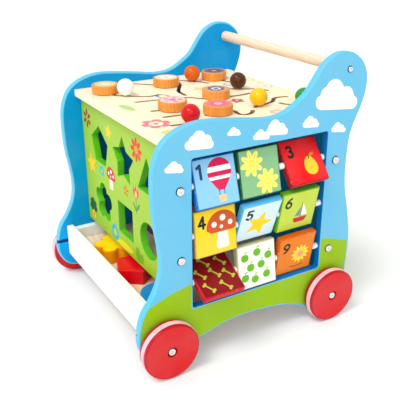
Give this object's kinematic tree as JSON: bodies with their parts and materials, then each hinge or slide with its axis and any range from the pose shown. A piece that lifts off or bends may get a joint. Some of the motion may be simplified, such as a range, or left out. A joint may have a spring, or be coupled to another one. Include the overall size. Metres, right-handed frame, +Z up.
{
  "type": "baby walker",
  "caption": "Wooden push-along activity walker: box on four wheels with grab bar, shape-sorter front, sliding-token maze top and a side wall of turning tiles.",
  "frame": {"origin": "middle of the walker's outline on the floor, at the bottom of the wheels", "axes": "+X towards the side panel with the turning tiles, -Y the way it travels (sorter board and tray in front), +Y towards the grab bar and the child, +Z up"},
  "size_m": [0.4039, 0.4017, 0.4457],
  "materials": {
    "painted_blue": "satin paint on plywood",
    "painted_lime": "satin paint on plywood",
    "painted_white": "satin paint",
    "natural_maple": "clear lacquer",
    "natural_ply": "clear lacquer",
    "natural_beech": "clear lacquer",
    "painted_red": "gloss paint",
    "painted_yellow": "gloss paint",
    "painted_orange": "gloss paint",
    "painted_green": "gloss paint",
    "block_blue": "gloss paint",
    "block_purple": "gloss paint",
    "ball_white": "gloss paint",
    "ball_brown": "gloss paint",
    "tile_sky": "satin paint with print",
    "tile_sage": "satin paint with print",
    "tile_ice": "satin paint with print",
    "tile_lime": "satin paint with print",
    "tile_maroon": "satin paint with print",
    "tile_cream": "satin paint with print",
    "tyre_rubber": "soft translucent rubber",
    "white_plastic": "moulded",
    "steel": "nickel plated"
  },
  "bodies": {
    "walker_body": {"left_side_panel": "painted_blue", "right_side_panel": "painted_blue", "shape_sorter_board": "painted_lime", "maze_top_board": "natural_maple", "rear_board": "painted_lime", "tray_floor": "natural_ply", "tray_front_board": "painted_white", "tray_side_left": "painted_white", "tray_side_right": "painted_white", "handle_bar": "natural_beech", "handle_screw_left": "steel", "handle_screw_right": "steel", "tile_rod_upper": "white_plastic", "tile_rod_middle": "white_plastic", "tile_rod_lower": "white_plastic", "front_axle": "steel", "rear_axle": "steel", "bolt_front_upper_left": "steel", "bolt_front_upper_right": "steel", "bolt_front_lower_left": "steel", "bolt_front_lower_right": "steel", "bolt_rear_upper_left": "steel", "bolt_rear_upper_right": "steel", "bolt_rear_lower_left": "steel", "bolt_rear_lower_right": "steel"},
    "front_left_wheel_set": {"front_left_wheel": "painted_red", "front_left_tyre": "tyre_rubber"},
    "front_right_wheel_set": {"front_right_wheel": "painted_red", "front_right_tyre": "tyre_rubber"},
    "rear_left_wheel_set": {"rear_left_wheel": "painted_red", "rear_left_tyre": "tyre_rubber"},
    "rear_right_wheel_set": {"rear_right_wheel": "painted_red", "rear_right_tyre": "tyre_rubber"},
    "tile_1_blue": {"tile_1_blue": "tile_sky"},
    "tile_2_flowers": {"tile_2_flowers": "tile_sage"},
    "tile_3_red": {"tile_3_red": "painted_red"},
    "tile_4_yellow": {"tile_4_yellow": "painted_yellow"},
    "tile_5_star": {"tile_5_star": "tile_ice"},
    "tile_6_lime": {"tile_6_lime": "tile_lime"},
    "tile_7_maroon": {"tile_7_maroon": "tile_maroon"},
    "tile_8_apples": {"tile_8_apples": "tile_cream"},
    "tile_9_orange": {"tile_9_orange": "painted_orange"},
    "disc_green": {"disc_green": "natural_beech"},
    "disc_gold": {"disc_gold": "natural_beech"},
    "disc_navy": {"disc_navy": "natural_beech"},
    "disc_pink": {"disc_pink": "natural_beech"},
    "disc_spots": {"disc_spots": "natural_beech"},
    "disc_ring": {"disc_ring": "natural_beech"},
    "ball_white": {"ball_white": "ball_white"},
    "ball_orange": {"ball_orange": "painted_orange"},
    "ball_brown": {"ball_brown": "ball_brown"},
    "ball_red": {"ball_red": "painted_red"},
    "ball_yellow": {"ball_yellow": "painted_yellow"},
    "ball_green": {"ball_green": "painted_green"},
    "block_flower": {"block_flower": "painted_yellow"},
    "block_pentagon": {"block_pentagon": "painted_red"},
    "block_circle": {"block_circle": "block_blue"},
    "block_star": {"block_star": "painted_orange"},
    "block_square": {"block_square": "block_purple"},
    "block_triangle": {"block_triangle": "painted_green"}
  },
  "joints": [
    {"name": "front_left_wheel_turn", "type": "hinge", "parent": "walker_body", "child": "front_left_wheel_set", "pos_m": [0.1903, -0.15495, 0.046], "axis": [1, 0, 0], "continuous": true},
    {"name": "front_right_wheel_turn", "type": "hinge", "parent": "walker_body", "child": "front_right_wheel_set", "pos_m": [-0.1903, -0.15495, 0.046], "axis": [1, 0, 0], "continuous": true},
    {"name": "rear_left_wheel_turn", "type": "hinge", "parent": "walker_body", "child": "rear_left_wheel_set", "pos_m": [0.1903, 0.14705, 0.046], "axis": [1, 0, 0], "continuous": true},
    {"name": "rear_right_wheel_turn", "type": "hinge", "parent": "walker_body", "child": "rear_right_wheel_set", "pos_m": [-0.1903, 0.14705, 0.046], "axis": [1, 0, 0], "continuous": true},
    {"name": "tile_1_blue_turn", "type": "hinge", "parent": "walker_body", "child": "tile_1_blue", "pos_m": [0.1698, -0.06725, 0.2855], "axis": [0, 1, 0], "continuous": true},
    {"name": "tile_2_flowers_turn", "type": "hinge", "parent": "walker_body", "child": "tile_2_flowers", "pos_m": [0.1698, 0.00775, 0.2855], "axis": [0, 1, 0], "continuous": true},
    {"name": "tile_3_red_turn", "type": "hinge", "parent": "walker_body", "child": "tile_3_red", "pos_m": [0.1698, 0.08275, 0.2855], "axis": [0, 1, 0], "continuous": true},
    {"name": "tile_4_yellow_turn", "type": "hinge", "parent": "walker_body", "child": "tile_4_yellow", "pos_m": [0.1698, -0.06725, 0.209], "axis": [0, 1, 0], "continuous": true},
    {"name": "tile_5_star_turn", "type": "hinge", "parent": "walker_body", "child": "tile_5_star", "pos_m": [0.1698, 0.00775, 0.209], "axis": [0, 1, 0], "continuous": true},
    {"name": "tile_6_lime_turn", "type": "hinge", "parent": "walker_body", "child": "tile_6_lime", "pos_m": [0.1698, 0.08275, 0.209], "axis": [0, 1, 0], "continuous": true},
    {"name": "tile_7_maroon_turn", "type": "hinge", "parent": "walker_body", "child": "tile_7_maroon", "pos_m": [0.1698, -0.06725, 0.1326], "axis": [0, 1, 0], "continuous": true},
    {"name": "tile_8_apples_turn", "type": "hinge", "parent": "walker_body", "child": "tile_8_apples", "pos_m": [0.1698, 0.00775, 0.1326], "axis": [0, 1, 0], "continuous": true},
    {"name": "tile_9_orange_turn", "type": "hinge", "parent": "walker_body", "child": "tile_9_orange", "pos_m": [0.1698, 0.08275, 0.1326], "axis": [0, 1, 0], "continuous": true},
    {"name": "disc_green_slide", "type": "slide", "parent": "walker_body", "child": "disc_green", "axis": [-0.38, 0.925, 0], "range_m": [-0.006, 0.036]},
    {"name": "disc_gold_slide", "type": "slide", "parent": "walker_body", "child": "disc_gold", "axis": [-0.717, -0.697, 0], "range_m": [-0.012, 0.044]},
    {"name": "disc_navy_slide", "type": "slide", "parent": "walker_body", "child": "disc_navy", "axis": [0.9523, 0.3051, 0], "range_m": [-0.012, 0.032]},
    {"name": "disc_pink_slide", "type": "slide", "parent": "walker_body", "child": "disc_pink", "axis": [0.2202, 0.9755, 0], "range_m": [-0.032, 0.018]},
    {"name": "disc_spots_slide", "type": "slide", "parent": "walker_body", "child": "disc_spots", "axis": [0.2651, 0.9642, 0], "range_m": [-0.021, 0.02]},
    {"name": "disc_ring_slide", "type": "slide", "parent": "walker_body", "child": "disc_ring", "axis": [-0.0405, 0.9992, 0], "range_m": [-0.02, 0.02]},
    {"name": "ball_white_slide", "type": "slide", "parent": "walker_body", "child": "ball_white", "axis": [0.657, 0.7539, 0], "range_m": [-0.005, 0.024]},
    {"name": "ball_orange_slide", "type": "slide", "parent": "walker_body", "child": "ball_orange", "axis": [-0.7785, -0.6276, 0], "range_m": [-0.006, 0.024]},
    {"name": "ball_brown_slide", "type": "slide", "parent": "walker_body", "child": "ball_brown", "axis": [0.508, 0.8613, 0], "range_m": [-0.02, 0.024]},
    {"name": "ball_red_slide", "type": "slide", "parent": "walker_body", "child": "ball_red", "axis": [0.16, 0.9871, 0], "range_m": [-0.028, 0.006]},
    {"name": "ball_yellow_slide", "type": "slide", "parent": "walker_body", "child": "ball_yellow", "axis": [-0.28, 0.96, 0], "range_m": [-0.008, 0.026]},
    {"name": "ball_green_slide", "type": "slide", "parent": "walker_body", "child": "ball_green", "axis": [0.7645, 0.6446, 0], "range_m": [-0.022, 0.013]},
    {"name": "block_flower_push", "type": "slide", "parent": "walker_body", "child": "block_flower", "axis": [0, 1, 0], "range_m": [0, 0.08]},
    {"name": "block_pentagon_push", "type": "slide", "parent": "walker_body", "child": "block_pentagon", "axis": [0, 1, 0], "range_m": [0, 0.06]},
    {"name": "block_circle_push", "type": "slide", "parent": "walker_body", "child": "block_circle", "axis": [-0.5, 0.866, 0], "range_m": [0, 0.06]},
    {"name": "block_star_push", "type": "slide", "parent": "walker_body", "child": "block_star", "axis": [0, -1, 0], "range_m": [0, 0.04]},
    {"name": "block_square_push", "type": "slide", "parent": "walker_body", "child": "block_square", "axis": [0, -1, 0], "range_m": [0, 0.055]},
    {"name": "block_triangle_push", "type": "slide", "parent": "walker_body", "child": "block_triangle", "axis": [0, -1, 0], "range_m": [0, 0.055]}
  ]
}
